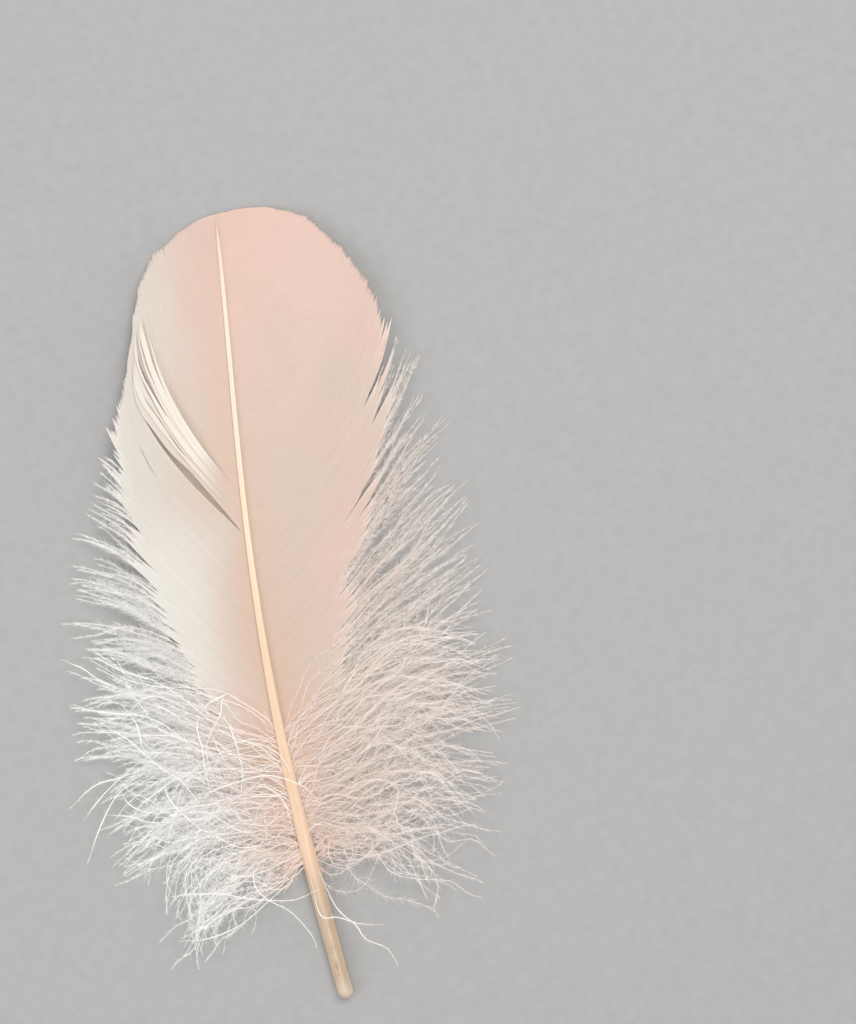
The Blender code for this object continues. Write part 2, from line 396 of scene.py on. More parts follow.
def build_mesh(name, points, faces, attributes, soft=False):
    """Object from points in the part's millimetres and groups of faces, each of one size."""
    points = np.asarray(points, dtype=np.float64).reshape(-1, 3)
    placed = (points - np.array([MIDDLE_X, MIDDLE_Y, 0.0])) * MM
    mesh = bpy.data.meshes.new(name)
    mesh.vertices.add(len(placed))
    mesh.vertices.foreach_set("co", placed.astype(np.float32).ravel())
    counts = np.concatenate([np.full(len(f), f.shape[1]) for f in faces])
    loops = np.concatenate([f.ravel() for f in faces])
    mesh.loops.add(len(loops))
    mesh.loops.foreach_set("vertex_index", loops.astype(np.int32))
    mesh.polygons.add(len(counts))
    starts = np.concatenate([[0], np.cumsum(counts)[:-1]])
    mesh.polygons.foreach_set("loop_start", starts.astype(np.int32))
    mesh.polygons.foreach_set("use_smooth", (counts == 4) & soft)
    mesh.update(calc_edges=True)
    away = (points[:, 0] - shaft_x(points[:, 1])) / CUP_REACH
    attributes = dict(attributes, away=away, rise=points[:, 1] / SHAFT_END)
    for key, values in attributes.items():
        layer = mesh.attributes.new(key, "FLOAT", "POINT")
        layer.data.foreach_set("value", np.asarray(values, dtype=np.float32).ravel())
    made = bpy.data.objects.new(name, mesh)
    bpy.context.scene.collection.objects.link(made)
    return made


def unit(vectors):
    """Vectors of length one."""
    return vectors / np.maximum(np.linalg.norm(vectors, axis=-1, keepdims=True), 1e-12)


def tangents(paths):
    """Directions along paths, (N, M, 3)."""
    ahead = np.empty_like(paths)
    ahead[:, 1:-1] = paths[:, 2:] - paths[:, :-2]
    ahead[:, 0] = paths[:, 1] - paths[:, 0]
    ahead[:, -1] = paths[:, -1] - paths[:, -2]
    return unit(ahead)


def frames(paths):
    """Directions along, across in the plane of the feather, and out of it."""
    along = tangents(paths)
    across = unit(np.cross(along, np.array([0.0, 0.0, 1.0])))
    out = np.cross(across, along)
    return along, across, out


def strip_solids(paths, across, out, half_width, half_height, sides=STRIP_SIDES):
    """Closed strips along paths: points (N*M*sides, 3), walls and end caps."""
    count, rings = paths.shape[:2]
    turn = np.arange(sides) * (2 * math.pi / sides)
    ring = (
        paths[:, :, None, :]
        + across[:, :, None, :] * (half_width[:, :, None] * np.cos(turn))[..., None]
        + out[:, :, None, :] * (half_height[:, :, None] * np.sin(turn))[..., None]
    )
    base = (np.arange(count) * rings * sides)[:, None, None]
    ring_start = (np.arange(rings - 1) * sides)[None, :, None]
    k = np.arange(sides)[None, None, :]
    after = (k + 1) % sides
    a = base + ring_start + k
    b = base + ring_start + after
    walls = np.stack([a, a + sides, b + sides, b], axis=-1).reshape(-1, 4)
    first = base[:, 0] + k[0]
    last = first + (rings - 1) * sides
    caps = np.concatenate([first, last[:, ::-1]])
    return ring.reshape(-1, 3), walls, caps


def slivers(roots, heads, thickness):
    """Closed slivers with three long faces, from roots to heads: points and triangles."""
    along = unit(heads - roots)
    helper = np.tile(np.array([0.0, 0.0, 1.0]), (len(roots), 1))
    steep = np.abs(along[:, 2]) > 0.9
    helper[steep] = (1.0, 0.0, 0.0)
    across = unit(np.cross(along, helper))
    out = np.cross(across, along)
    size = thickness[:, None]
    corners = [roots + across * size * u + out * size * v for u, v in SLIVER_CORNERS]
    points = np.stack(corners + [heads], axis=1)
    base = (np.arange(len(roots)) * SLIVER_POINTS)[:, None]
    faces = np.concatenate([
        base + np.array([0, 1, 2]),
        base + np.array([1, 0, 3]),
        base + np.array([2, 1, 3]),
        base + np.array([0, 2, 3]),
    ])
    return points.reshape(-1, 3), faces


class Side:
    """The barbs of one half of the feather."""

    def __init__(self, sign):
        self.sign = sign
        self.name = "left" if sign == LEFT else "right"
        self.table = LEFT_BARBS if sign == LEFT else RIGHT_BARBS

    def value(self, roots, column):
        """One column of the side's table at these roots."""
        return np.interp(roots, self.table[:, 0], self.table[:, column])

    def lines(self, roots, segments, wander, stretch):
        """Barb lines seen from above, (N, segments + 1, 2)."""
        first, middle, last = (self.value(roots, k)[:, None] for k in (1, 2, 3))
        length = self.value(roots, 4) * stretch
        s = (np.arange(segments) + 0.5) / segments
        angle = first * (1 - s) * (1 - 2 * s) + 4 * middle * s * (1 - s) + last * s * (2 * s - 1)
        lean = np.arctan(np.polyval(BOW_SLOPE, roots))[:, None]
        heading = lean + self.sign * np.radians(angle + wander)
        step = (length / segments)[:, None]
        moves = np.stack([np.sin(heading) * step, np.cos(heading) * step], axis=-1)
        start = np.stack([shaft_x(roots), roots], axis=-1)[:, None, :]
        return np.concatenate([start, start + np.cumsum(moves, axis=1)], axis=1)


def wandering(rng, count, segments, amount, loose):
    """Waving turns in degrees, (count, segments), where a barb is loose."""
    s = (np.arange(segments) + 0.5) / segments
    total = np.zeros((count, segments))
    for cycles, share in ((0.8, 0.6), (1.9, 0.45), (4.1, 0.3)):
        phase = rng.uniform(0, math.tau, count)[:, None]
        size = rng.normal(0, share, count)[:, None]
        total += size * np.sin(math.tau * cycles * s + phase)
    return total * amount * loose


def tufts(rng, count, least, most):
    """Number of the tuft that each barb belongs to."""
    sizes = rng.integers(least, most + 1, count)
    return np.repeat(np.arange(count), sizes)[:count]


def leaders(groups):
    """Marks the first barb of each tuft, which is the longest and thickest."""
    return np.concatenate([[True], groups[1:] != groups[:-1]])


def tuft_values(rng, groups, low, high):
    """One random value for each tuft, given to its barbs."""
    return rng.uniform(low, high, groups.max() + 1)[groups]


def gather(paths, groups, pull):
    """Draws the barbs of a tuft towards their middle line."""
    sums = np.zeros((groups.max() + 1,) + paths.shape[1:])
    np.add.at(sums, groups, paths)
    middle = sums / np.bincount(groups)[:, None, None]
    return paths + (middle[groups] - paths) * pull[..., None]


def with_height(lines, z):
    """Paths in space from lines and heights."""
    return np.concatenate([lines, z[..., None]], axis=-1)


def under_fold(side, roots):
    """Marks the barbs at the fold, and the third of them that stay down and close the vane."""
    inside = (side.sign == LEFT) & (roots >= SLIT_ROOT) & (roots < FOLD_END)
    return inside, inside & (np.arange(len(roots)) % 3 == 0)


def slit_opening(s):
    """How far the split is open along the barbs, from 0 to 1."""
    return np.sin(math.pi * np.clip(s / SLIT_REACH, 0, 1) ** SLIT_ONSET)


def fold_strands(side, lines, rise, roots, s):
    """Bundles and raises the strands above the split, in place. Returns every barb's shift."""
    opening = slit_opening(s)
    lowest = SLIT_WIDTH * opening - SLIT_CLOSING_SHIFT * smooth(*SLIT_CLOSING, s)
    arc = np.sin(math.pi / 2 * np.clip(s / FOLD_PEAK, 0, 1)) ** FOLD_POWER
    highest = FOLD_WIDTH * arc - FOLD_RETURN_SHIFT * smooth(*FOLD_RETURN, s)
    lift = smooth(*LIFT_RISE, s) * (1 - LIFT_LOSS * smooth(*LIFT_FALL, s))
    pull = (STRAND_PULL * smooth(*STRAND_GATHER, s))[None, :, None]
    shift = np.zeros(lines.shape[:2])
    _, under = under_fold(side, roots)
    firsts = [strand[0] for strand in FOLD_STRANDS] + [FOLD_END]
    for (first, place, height), after in zip(FOLD_STRANDS, firsts[1:]):
        strand = (roots >= first) & (roots < after) & ~under
        shift[strand] = lowest * (1 - place) + highest * place
        rise[strand] = height * lift
        middle = lines[strand].mean(axis=0)
        lines[strand] += (middle - lines[strand]) * pull
    rise[under] = -FOLD_DEPTH * np.sin(math.pi * np.clip(s / UNDER_REACH, 0, 1)) ** UNDER_POWER
    return shift


def open_splits(shift, roots, s):
    """Adds to the barbs' shift how they give way below the split and beside the narrow gaps."""
    below = (roots < SLIT_ROOT) & (roots > SLIT_ROOT - GIVE_REACH)
    fading = np.exp((roots[below] - SLIT_ROOT) / GIVE_FADE)
    shift[below] = GIVE_SHARE * SLIT_WIDTH * slit_opening(s)[None, :] * fading[:, None]
    for root, start, end, width in SMALL_SPLITS:
        reach = np.clip((s - start) / (end - start), 0, 1)[None, :]
        gap = width * np.sin(math.pi * reach)
        near = np.exp(-np.abs(roots - root) / GAP_FADE)[:, None]
        shift = shift + np.where((roots > root)[:, None], GAP_ABOVE, -GAP_BELOW) * gap * near
    return shift


def part_barbs(side, lines, roots, s):
    """Opens the splits in the left vane and folds the barbs above one. Returns lines and rise."""
    rise = np.zeros(lines.shape[:2])
    if side.sign == RIGHT:
        return lines, rise
    along = unit(np.gradient(lines, axis=1))
    distal = np.stack([along[..., 1], -along[..., 0]], axis=-1)
    shift = open_splits(fold_strands(side, lines, rise, roots, s), roots, s)
    return lines + distal * shift[..., None], rise


def vane_closed(side, rng, roots):
    """Share of each barb that is closed vane, and how ragged the vane's edge is there."""
    closed = side.value(roots, 5)
    ragged = smooth(*RAGGED, 1 - closed)
    waves = EDGE_WAVES * slow_noise(rng, roots, EDGE_PITCH)
    spread = rng.uniform(-EDGE_SPREAD, EDGE_SPREAD, len(roots))
    return np.clip(closed + ragged * (waves + spread), *CLOSED_RANGE), ragged


def vane_lengths(side, rng, roots, ragged):
    """Lengths of the barbs against the table's, their tufts, and which barb leads its tuft."""
    count = len(roots)
    stretch = 1 + rng.normal(0, 1, count) * (NEAT_SPREAD + RAGGED_SPREAD * ragged)
    stretch += (NEAT_WAVES + RAGGED_WAVES * ragged) * slow_noise(rng, roots, LENGTH_PITCH)
    stretch = np.minimum(stretch, LONGEST) + RAGGED_GROWTH * ragged
    folded, under = under_fold(side, roots)
    stretch -= FOLD_SHORTER * (folded & ~under) * (1 - smooth(SLIT_ROOT, SLIT_ROOT + 5, roots))
    groups = tufts(rng, count, *VANE_TUFT)
    lead = leaders(groups)
    stretch -= FOLLOWER_LOSS * ragged * rng.uniform(0, 1, count) ** FOLLOWER_POWER * ~lead
    return stretch, groups, lead


def vane_turns(side, rng, roots, closed, groups, s):
    """Turns in degrees along the barbs, (N, segments), where they are loose."""
    s_mid = ((s[1:] + s[:-1]) / 2)[None, :]
    closed = closed[:, None]
    amount = LOOSE_WAVE + LOW_WAVE * (1 - smooth(45, 75, roots)) - HIGH_CALM * smooth(76, 92, roots)
    loose = smooth(closed, closed + 0.3, s_mid)
    wander = wandering(rng, len(roots), BARB_SEGMENTS, amount[:, None], loose)
    if side.sign == LEFT:
        turn = LOOSE_TURN * smooth(46, 58, roots) * (1 - smooth(86, 100, roots))
        turn *= tuft_values(rng, groups, *LOOSE_TURN_SHARES)
        wander += turn[:, None] * smooth(closed - 0.05, closed + 0.13, s_mid)
    return wander


def vane_levels(rng, lines, rise, drop, groups, lead, s):
    """Heights of the barbs: on the arched vane, and lower where they are loose."""
    roots = lines[:, 0, 1]
    tip = tuft_values(rng, groups, *TIP_LEVELS) + rng.normal(0, TIP_SPREAD, len(roots))
    tip = tip + LEAD_LEVEL * lead
    z = vane_height(lines[..., 0], lines[..., 1]) * (1 - drop)
    z = z + np.maximum(tip, TIP_LEAST)[:, None] * drop
    uneven = UNEVEN * rng.normal(0, 1, len(roots))[:, None]
    z += rise + uneven + RIPPLE * slow_noise(rng, roots, RIPPLE_PITCH)[:, None]
    z += SWELL * slow_noise(rng, roots, SWELL_PITCH)[:, None] * (s * (1 - s) * 4)[None, :]
    return np.maximum(z, VANE_LOWEST)


def vane_sizes(side, level, roots, closed, gone, lead, s):
    """Half widths and half heights of the barbs, and how much of each is closed web."""
    folded, under = under_fold(side, roots)
    gap = np.abs(np.sum((level[1:] - level[:-1]) * frames(level)[1][:-1], axis=-1))
    gap = np.concatenate([gap, gap[-1:]])
    gap[folded] *= FOLDED_WIDER
    gap[under] *= UNDER_WIDER
    narrow = closed + 0.07 + 0.09 * smooth(0.65, 0.85, closed)
    web = 1 - smooth(closed[:, None] - 0.02, narrow[:, None], s[None, :])
    end = 1 - TIP_NARROWING * smooth(0.94, 1.0, s)[None, :]
    half_closed = np.clip(gap * OVERLAP + WEB_SPARE, *WEB_HALF_WIDTHS) * end
    at_tip = (roots > TIP_FROM)[:, None] * (s < 0.2)[None, :]
    half_closed = np.maximum(half_closed, TIP_HALF_WIDTH * at_tip)
    half_loose = np.where(lead, LEAD_RADIUS, LOOSE_RADIUS)[:, None] * (1 - LOOSE_TAPER * gone)
    half_width = half_closed * web + half_loose * (1 - web)
    half_height = WEB_HALF_HEIGHT * web + half_loose * (1 - web)
    return half_width, half_height, web


def make_vane(side, rng):
    """All barbs of the vane on one side. Returns the object, the barbs' paths and closed shares."""
    roots = np.arange(VANE_FROM, VANE_TO, BARB_PITCH)
    s = np.linspace(0, 1, BARB_SEGMENTS + 1)
    closed, ragged = vane_closed(side, rng, roots)
    stretch, groups, lead = vane_lengths(side, rng, roots, ragged)
    wander = vane_turns(side, rng, roots, closed, groups, s)
    lines = side.lines(roots, BARB_SEGMENTS, wander, stretch)
    level = with_height(lines, vane_height(lines[..., 0], lines[..., 1]))
    lines, rise = part_barbs(side, lines, roots, s)
    gone = smooth(closed[:, None], 1.0, s[None, :])
    free = smooth(*FREE, 1 - closed)[:, None]
    lines = gather(lines, groups, VANE_GATHER * gone ** GATHER_POWER * free)
    paths = with_height(lines, vane_levels(rng, lines, rise, gone * free, groups, lead, s))

    half_width, half_height, web = vane_sizes(side, level, roots, closed, gone, lead, s)
    along, across, out = frames(paths)
    tilt = -side.sign * math.radians(BARB_TILT) * web
    leaning = across * np.cos(tilt)[..., None] + out * np.sin(tilt)[..., None]
    upright = np.cross(leaning, along)
    points, walls, caps = strip_solids(paths, leaning, upright, half_width, half_height)
    tone = np.broadcast_to(rng.uniform(-1, 1, len(roots))[:, None], web.shape)
    # lift is each barb's rise; the vane material also uses it to paint a highlight on the raised
    # strands
    found = {"loose": 1 - web, "tone": tone, "lift": rise}
    values = {key: np.repeat(value.ravel(), STRIP_SIDES) for key, value in found.items()}
    vane = build_mesh(f"vane_{side.name}", points, [walls, caps], values)
    return vane, paths, closed


def on_paths(paths, index, share):
    """Points and directions on paths[index] at a share of their length."""
    place = share * (paths.shape[1] - 1)
    k = np.minimum(place.astype(int), paths.shape[1] - 2)
    t = (place - k)[:, None]
    low, high = paths[index, k], paths[index, k + 1]
    return low * (1 - t) + high * t, unit(high - low)


def barbules(rng, paths, begin, wanted, length, spread):
    """Slivers on both sides of each path from the share begin on: points, triangles, values."""
    steps = np.linalg.norm(np.diff(paths, axis=1), axis=-1).sum(axis=1)
    room = np.maximum(steps * (1 - begin), 0)
    index = rng.choice(len(paths), size=wanted, p=room / room.sum())
    t = rng.uniform(0, 1, wanted) ** BARBULE_CROWDING
    share = begin[index] + (BARBULE_STOP - begin[index]) * t
    roots, along = on_paths(paths, index, share)
    across = unit(np.cross(along, np.array([0.0, 0.0, 1.0])))
    out = np.cross(across, along)
    hand = np.where(rng.uniform(0, 1, wanted) < 0.5, -1.0, 1.0)
    roll = rng.normal(0, math.radians(spread), wanted)
    aside = across * (hand * np.cos(roll))[:, None] + out * np.sin(roll)[:, None]
    angle = rng.normal(*BARBULE_ANGLES, wanted)
    angle = np.radians(angle - BARBULE_TIP_TURN * smooth(0.55, 1.0, share))
    heading = along * np.cos(angle)[:, None] + aside * np.sin(angle)[:, None]
    size = length * rng.uniform(*BARBULE_SIZES, wanted)
    size *= (0.7 + 0.3 * smooth(0.0, 0.2, t)) * (1 - BARBULE_TIP_LOSS * smooth(0.7, 1.0, share))
    heads = roots + heading * size[:, None]
    heads[:, 2] = np.maximum(heads[:, 2] - BARBULE_SAG * size, FLUFF_LOWEST)
    thickness = BARBULE_THICKNESS * rng.uniform(0.8, 1.2, wanted)
    points, faces = slivers(roots, heads, thickness)
    values = {
        "reach": np.repeat(share, SLIVER_POINTS),
        "tone": np.repeat(rng.uniform(-1, 1, wanted), SLIVER_POINTS),
    }
    return points, [faces], values


def make_down(side, rng):
    """Down barbs at the base, in tufts from the surface up to a few millimetres; and their radii."""
    count = DOWN_BARBS
    roots = np.sort(DOWN_FROM + DOWN_RANGE * rng.uniform(0, 1, count) ** DOWN_CROWDING)
    s = DOWN_SHARES
    groups = tufts(rng, count, *DOWN_TUFT)
    lead = leaders(groups)
    long, short = rng.uniform(*LEAD_LENGTHS, count), rng.uniform(*FOLLOWER_LENGTHS, count)
    stretch = np.where(lead, long, short)
    amount = DOWN_WAVE - DOWN_CALM * smooth(40, 55, roots)
    wander = wandering(rng, count, DOWN_SEGMENTS, amount[:, None], 1.0)
    wander += rng.normal(0, DOWN_SPREAD, count)[:, None]
    wander += tuft_values(rng, groups, *DOWN_CURLS)[:, None] * smooth(0.4, 1.0, s[1:])[None, :]
    lines = side.lines(roots, DOWN_SEGMENTS, wander, stretch)
    lines = gather(lines, groups, DOWN_GATHER * smooth(0.15, 1.0, s)[None, :] * np.ones((count, 1)))
    tip = tuft_values(rng, groups, 0.0, 1.0) ** LOFT_POWER * LOFT + LOFT_LEAST
    tip = tip + rng.uniform(0, LOFT_SPREAD, count)
    bulge = tuft_values(rng, groups, *BULGES)
    start = shaft_height(roots) + rng.uniform(*DOWN_STARTS, count)
    z = start[:, None] * (1 - s) ** 1.4 + tip[:, None] * s ** 1.2 + bulge[:, None] * np.sin(math.pi * s)
    z = np.maximum(z, DOWN_LOWEST)
    return with_height(lines, z), np.where(lead, LEAD_DOWN_RADIUS, DOWN_RADIUS)[:, None]


def make_strays(side, rng):
    """Single curls that lie over the rest."""
    roots = rng.uniform(*STRAY_ROOTS, STRAYS)
    s = (np.arange(DOWN_SEGMENTS) + 0.5) / DOWN_SEGMENTS
    bend = rng.uniform(*STRAY_BENDS, STRAYS) * np.where(rng.uniform(0, 1, STRAYS) < 0.7, 1, -1)
    wander = bend[:, None] * (s - 0.35)[None, :]
    wander += wandering(rng, STRAYS, DOWN_SEGMENTS, STRAY_WAVE, 1.0)
    lines = side.lines(roots, DOWN_SEGMENTS, wander, rng.uniform(*STRAY_LENGTHS, STRAYS))
    ends = DOWN_SHARES[None, :]
    top = rng.uniform(*STRAY_TOPS, STRAYS)[:, None]
    z = shaft_height(roots)[:, None] * (1 - ends) + top * np.sin(math.pi * 0.92 * ends)
    return with_height(lines, np.maximum(z, STRAY_LOWEST))


def on_feather(pixels):
    """Places in the photograph's pixels as millimetres across and along the feather."""
    right = (pixels[..., 0] - QUILL_PIXEL[0]) * MM_PER_PIXEL
    up = (QUILL_PIXEL[1] - pixels[..., 1]) * MM_PER_PIXEL
    x = right * math.cos(CAMERA_ROLL) + up * math.sin(CAMERA_ROLL)
    y = -right * math.sin(CAMERA_ROLL) + up * math.cos(CAMERA_ROLL)
    return np.stack([x, y], axis=-1)


def curl(rng, pixels):
    """Smooth path through places of the photograph, over the down, the vane and the shaft."""
    knots = on_feather(np.array(pixels, dtype=float))
    knots = np.concatenate([2 * knots[:1] - knots[1:2], knots, 2 * knots[-1:] - knots[-2:-1]])
    place = np.linspace(0, len(pixels) - 1, DOWN_SEGMENTS + 1)
    k = np.minimum(place.astype(int), len(pixels) - 2)
    t = (place - k)[:, None]
    a, b, c, d = (knots[k + step] for step in range(4))
    bend = 2 * a - 5 * b + 4 * c - d
    line = 0.5 * (2 * b + (c - a) * t + bend * t ** 2 + (3 * (b - c) + d - a) * t ** 3)
    x, y = line[:, 0], line[:, 1]
    hump = CURL_HUMP * (1 - smooth(0, CURL_HUMP_REACH, np.abs(x - shaft_x(y)))) * (y < CURL_HUMP_END)
    over = vane_height(x, y) + CURL_CLEARANCE + hump
    low = rng.uniform(*CURL_HEIGHTS)
    s = DOWN_SHARES
    z = np.maximum(over, low) * (0.45 + 0.55 * smooth(0, 0.25, s))
    return with_height(line, z * (0.7 + 0.3 * smooth(0, 0.15, 1 - s)))


def strand_solids(rng, paths, radius, pale_from=0.0):
    """Closed three-sided strands that taper along paths: points, faces, values."""
    _, across, out = frames(paths)
    s = np.linspace(0, 1, paths.shape[1])[None, :]
    half = radius * (1 - STRAND_TAPER * s) * np.ones((len(paths), 1))
    points, walls, caps = strip_solids(paths, across, out, half, half, sides=STRAND_SIDES)
    pale = np.maximum(s, pale_from) * np.ones((len(paths), 1))
    values = {
        "reach": np.repeat(pale.ravel(), STRAND_SIDES),
        "tone": np.repeat(rng.uniform(-1, 1, len(paths)), paths.shape[1] * STRAND_SIDES),
    }
    return points, [walls, caps], values


def join_parts(name, parts):
    """One object from several (points, faces, values)."""
    offset, all_points, quads, triangles = 0, [], [], []
    values = {key: [] for key in parts[0][2]}
    for points, faces, found in parts:
        for group in faces:
            (quads if group.shape[1] == 4 else triangles).append(group + offset)
        all_points.append(points)
        offset += len(points)
        for key, value in found.items():
            values[key].append(value)
    groups = [np.concatenate(g) for g in (quads, triangles) if g]
    joined = {key: np.concatenate(v) for key, v in values.items()}
    return build_mesh(name, np.concatenate(all_points), groups, joined)


def make_fringe(side, rng, paths, closed):
    """Barbules on the loose ends of the vane's lower barbs."""
    roots = paths[:, 0, 1]
    bare = (roots < FRINGE_END) & (closed < FRINGE_CLOSED)
    begin = np.clip(closed[bare] + 0.02, 0, 0.97)
    length = FRINGE_LENGTHS[side.sign]
    return [barbules(rng, paths[bare], begin, FRINGE_BARBULES, length, FRINGE_ROLL)]


def make_down_parts(side, rng):
    """Down barbs, stray curls and the down's barbules; on the left also the long curls."""
    barbs, radii = make_down(side, rng)
    strays = make_strays(side, rng)
    begin = np.full(len(barbs), 0.06)
    fluff = barbules(rng, barbs, begin, DOWN_BARBULES, DOWN_LENGTH, DOWN_ROLL)
    parts = [
        strand_solids(rng, barbs, radii),
        strand_solids(rng, strays, STRAY_RADIUS, 0.5),
        fluff,
    ]
    if side.sign == LEFT:
        curls = np.array([curl(rng, pixels) for pixels in CURLS])
        begin = np.full(len(curls), 0.1)
        fuzz = barbules(rng, curls, begin, CURL_BARBULES, CURL_LENGTH, CURL_ROLL)
        ends = 0.3 + 0.7 * smooth(0.0, 0.35, DOWN_SHARES)
        parts += [strand_solids(rng, curls, CURL_RADIUS * ends, 0.6), fuzz]
    return parts


def shaft_section(y):
    """Half width, half height and squareness of the shaft at y."""
    places = [size[0] for size in SHAFT_SIZES]
    width = np.interp(y, places, [size[1] for size in SHAFT_SIZES])
    height = np.interp(y, places, [size[2] for size in SHAFT_SIZES])
    return width, height, 2.0 + SHAFT_SQUARE * smooth(22, 48, y)


def shaft_rings(y):
    """Points of the shaft's rings, and how far each is to the side of the middle."""
    width, height, power = shaft_section(y)
    short = (QUILL_RADIUS - np.minimum(y, QUILL_RADIUS)) / QUILL_RADIUS
    round_off = np.sqrt(np.clip(1 - short ** 2, 0, 1))
    point_off = 1 - 0.6 * smooth(RACHIS_END - 4, RACHIS_END, y)
    width, height = width * round_off * point_off, height * round_off * point_off
    turn = np.arange(SHAFT_FACES) * math.tau / SHAFT_FACES
    cos, sin = np.cos(turn)[None, :], np.sin(turn)[None, :]
    size = (np.abs(cos) ** power[:, None] + np.abs(sin) ** power[:, None]) ** (-1 / power[:, None])
    u, v = cos * size, sin * size
    groove = GROOVE_DEPTH * smooth(26, 50, y)[:, None]
    line = np.exp(-((u + GROOVE_PLACE) / 0.13) ** 2) + 0.5 * np.exp(-((u - 0.35) / 0.12) ** 2)
    v = v - np.where(v > 0, groove * line, 0)
    wear = 1 + SHAFT_WEAR * np.sin(y * 2.1)[:, None] * np.sin(turn * 3 + y[:, None] * 0.3)
    x = shaft_x(y)[:, None] + width[:, None] * u * wear
    z = shaft_height(y)[:, None] + height[:, None] * v * wear + SHAFT_PROUD * smooth(28, 50, y)[:, None]
    return np.stack([x, np.broadcast_to(y[:, None], x.shape), z], axis=-1), u


def shaft_faces(rings):
    """Quads between the shaft's rings, and triangles from its end rings to one point each."""
    ring = np.arange(SHAFT_FACES)
    after = (ring + 1) % SHAFT_FACES
    first = (np.arange(rings - 1) * SHAFT_FACES)[:, None]
    a, b = first + ring, first + after
    walls = np.stack([a, a + SHAFT_FACES, b + SHAFT_FACES, b], axis=-1).reshape(-1, 4)
    count = rings * SHAFT_FACES
    last = count - SHAFT_FACES
    start_cap = np.stack([ring, after, np.full(SHAFT_FACES, count)], axis=-1)
    end_cap = np.stack([last + after, last + ring, np.full(SHAFT_FACES, count + 1)], axis=-1)
    return [walls, start_cap, end_cap]


def make_shaft():
    """Quill and shaft: round below, squarish with two grooves above."""
    tip = QUILL_RADIUS * (1 - np.cos(np.linspace(0.12, math.pi / 2, 9)))
    y = np.concatenate([tip, np.linspace(QUILL_RADIUS, RACHIS_END, SHAFT_STATIONS)[1:]])
    points, across = shaft_rings(y)
    ends = [
        (shaft_x(y[0]), y[0] + 0.05, shaft_height(y[0])),
        (shaft_x(y[-1]), y[-1] + 0.1, points[-1, :, 2].mean()),
    ]
    all_points = np.concatenate([points.reshape(-1, 3), np.array(ends)])
    values = {"side": np.concatenate([across.ravel(), [0, 0]])}
    return build_mesh("feather_shaft", all_points, shaft_faces(len(y)), values, soft=True)


def srgb(red, green, blue):
    """Linear colour from 0..255 values."""
    values = []
    for value in (red, green, blue):
        share = value / 255
        values.append(share / 12.92 if share <= 0.04045 else ((share + 0.055) / 1.055) ** 2.4)
    return (*values, 1.0)


class Nodes:
    """Short ways to place nodes in a material."""

    def __init__(self, name):
        self.material = bpy.data.materials.new(name)
        self.material.use_nodes = True
        self.tree = self.material.node_tree
        self.tree.nodes.clear()

    def add(self, kind, **settings):
        """A node with properties set."""
        node = self.tree.nodes.new(kind)
        for key, value in settings.items():
            setattr(node, key, value)
        return node

    def put(self, socket, value):
        """Sets a socket or links another to it."""
        if isinstance(value, bpy.types.NodeSocket):
            self.tree.links.new(value, socket)
        else:
            socket.default_value = value

    def attribute(self, name):
        """A number stored on the mesh's points."""
        return self.add("ShaderNodeAttribute", attribute_name=name).outputs["Fac"]

    def math(self, operation, *values):
        """A sum on numbers."""
        node = self.add("ShaderNodeMath", operation=operation)
        for socket, value in zip(node.inputs, values):
            self.put(socket, value)
        return node.outputs[0]

    def ramp(self, factor, *stops):
        """Colours along a number: (place, colour) pairs."""
        node = self.add("ShaderNodeValToRGB")
        self.put(node.inputs[0], factor)
        elements = node.color_ramp.elements
        while len(elements) > 1:
            elements.remove(elements[-1])
        elements[0].position = stops[0][0]
        elements[0].color = stops[0][1]
        for place, colour in stops[1:]:
            elements.new(place).color = colour
        return node.outputs["Color"]

    def scale(self, value, low, high, to_low=0.0, to_high=1.0):
        """A number moved from one range to another, kept inside it."""
        node = self.add("ShaderNodeMapRange", interpolation_type="SMOOTHSTEP")
        for socket, item in zip(node.inputs, (value, low, high, to_low, to_high)):
            self.put(socket, item)
        return node.outputs[0]

    def noise(self, pitch, detail, seed, stretch=(1, 1, 1)):
        """Noise with bumps about pitch metres apart, in the row frame."""
        place = self.add("ShaderNodeTexCoord").outputs["Object"]
        mapping = self.add("ShaderNodeMapping")
        self.put(mapping.inputs["Vector"], place)
        mapping.inputs["Scale"].default_value = [part / pitch for part in stretch]
        mapping.inputs["Location"].default_value = (seed, seed * 0.7, seed * 0.3)
        node = self.add("ShaderNodeTexNoise")
        self.put(node.inputs["Vector"], mapping.outputs[0])
        node.inputs["Scale"].default_value = 1.0
        node.inputs["Detail"].default_value = detail
        return node.outputs["Fac"]

    def mix(self, factor, first, second):
        """Two colours mixed."""
        node = self.add("ShaderNodeMix", data_type="RGBA")
        self.put(node.inputs["Factor"], factor)
        self.put(node.inputs[6], first)
        self.put(node.inputs[7], second)
        return node.outputs[2]

    def bump(self, height, strength, distance):
        """Normals bent by a height."""
        node = self.add("ShaderNodeBump")
        node.inputs["Strength"].default_value = strength
        node.inputs["Distance"].default_value = distance
        self.put(node.inputs["Height"], height)
        return node.outputs[0]

    def surface(self, colour, roughness, normal, through=0.0, **fixed):
        """Principled surface, mixed with light let through from behind."""
        shader = self.add("ShaderNodeBsdfPrincipled")
        self.put(shader.inputs["Base Color"], colour)
        self.put(shader.inputs["Roughness"], roughness)
        self.put(shader.inputs["Normal"], normal)
        for key, value in fixed.items():
            shader.inputs[key.replace("_", " ")].default_value = value
        result = shader.outputs[0]
        if through:
            behind = self.add("ShaderNodeBsdfTranslucent")
            self.put(behind.inputs["Color"], colour)
            both = self.add("ShaderNodeMixShader")
            both.inputs[0].default_value = through
            self.put(both.inputs[1], result)
            self.put(both.inputs[2], behind.outputs[0])
            result = both.outputs[0]
        out = self.add("ShaderNodeOutputMaterial")
        self.put(out.inputs["Surface"], result)
        return self.material


